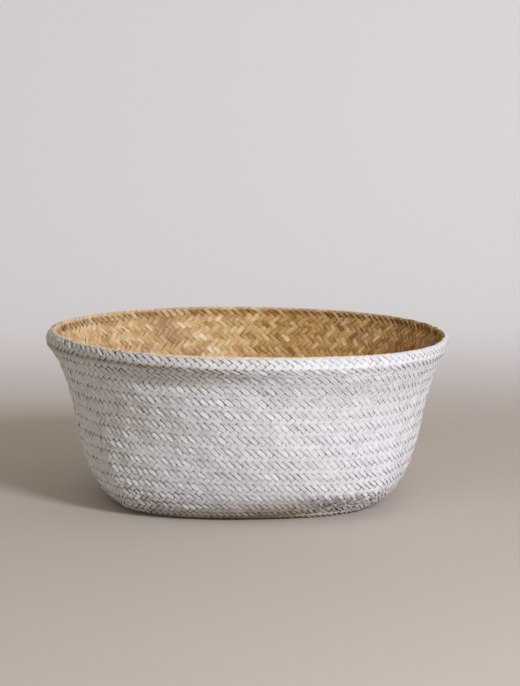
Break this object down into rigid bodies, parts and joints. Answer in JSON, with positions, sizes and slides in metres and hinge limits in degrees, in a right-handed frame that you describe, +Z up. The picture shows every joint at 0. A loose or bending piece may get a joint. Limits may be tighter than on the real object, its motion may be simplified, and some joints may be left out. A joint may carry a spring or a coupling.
{
  "type": "belly basket",
  "caption": "Round plaited seagrass basket, painted white outside, with its natural upper half turned down inside and rope handles.",
  "frame": {"origin": "on the floor, under the middle of the basket's base", "axes": "+Z up through the mouth, +X to the basket's right through the right handle, +Y to the back"},
  "size_m": [0.404, 0.404, 0.166],
  "materials": {
    "painted_seagrass": "plaited seagrass under a thin coat of matt white paint",
    "natural_seagrass": "plaited natural seagrass, satin, straw to golden brown",
    "natural_border": "plaited natural seagrass border, satin",
    "seagrass_rope": "twisted natural seagrass rope",
    "lashing_cord": "fine twisted seagrass cord"
  },
  "bodies": {
    "basket": {"base": "painted_seagrass", "outer_wall": "painted_seagrass", "rim_fold": "painted_seagrass", "inner_wall": "natural_seagrass", "mouth_border": "natural_border", "lashing_right_front": "lashing_cord", "lashing_right_back": "lashing_cord", "lashing_left_front": "lashing_cord", "lashing_left_back": "lashing_cord"},
    "handle_right": {"handle_right": "seagrass_rope"},
    "handle_left": {"handle_left": "seagrass_rope"}
  },
  "joints": [
    {"name": "handle_right_swing", "type": "hinge", "parent": "basket", "child": "handle_right", "pos_m": [0.11992, 0, 0.02], "axis": [0, 1, 0], "range_deg": [0, 120]},
    {"name": "handle_left_swing", "type": "hinge", "parent": "basket", "child": "handle_left", "pos_m": [-0.11992, 0, 0.02], "axis": [0, -1, 0], "range_deg": [0, 120]}
  ]
}
